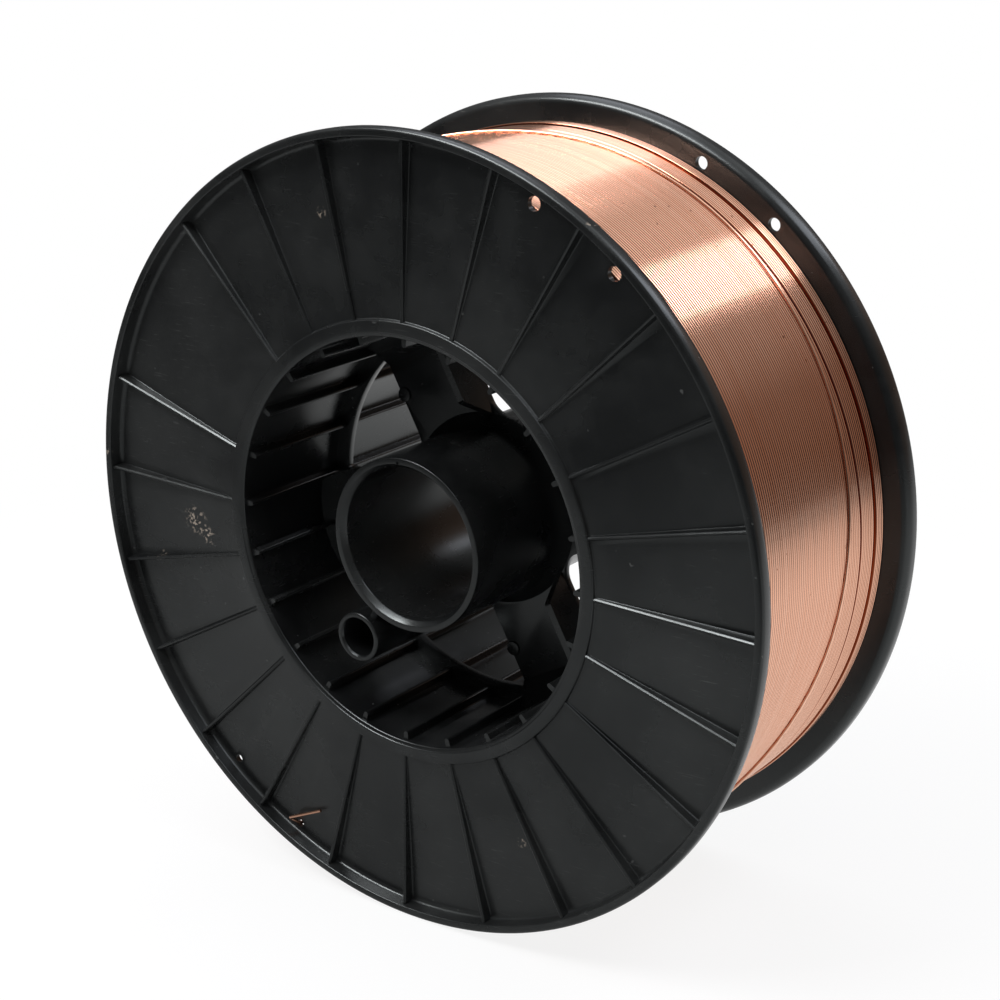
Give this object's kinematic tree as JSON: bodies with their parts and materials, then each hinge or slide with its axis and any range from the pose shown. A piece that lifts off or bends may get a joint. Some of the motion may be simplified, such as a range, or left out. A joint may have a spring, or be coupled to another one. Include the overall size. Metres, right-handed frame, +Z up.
{
  "type": "welding wire spool",
  "caption": "Moulded spool with dished ribbed flanges, ribbed barrel, hub bore and drive hole, full of level-wound copper coated wire whose end is bent through a rim hole.",
  "frame": {"origin": "middle of the bounding box at the floor, on the line between the two rims' feet", "axes": "+Y along the spool axis towards the rear flange, -Y towards the front flange of the picture, +X to the right seen from the front, +Z up"},
  "size_m": [0.27, 0.103, 0.27],
  "materials": {
    "black_plastic": "semi-gloss black moulded plastic with fine scuffs",
    "copper_wire": "bright copper coat on steel wire, wound in fine level turns"
  },
  "bodies": {
    "root": {"spool": "black_plastic", "wire_coil": "copper_wire"}
  },
  "joints": []
}
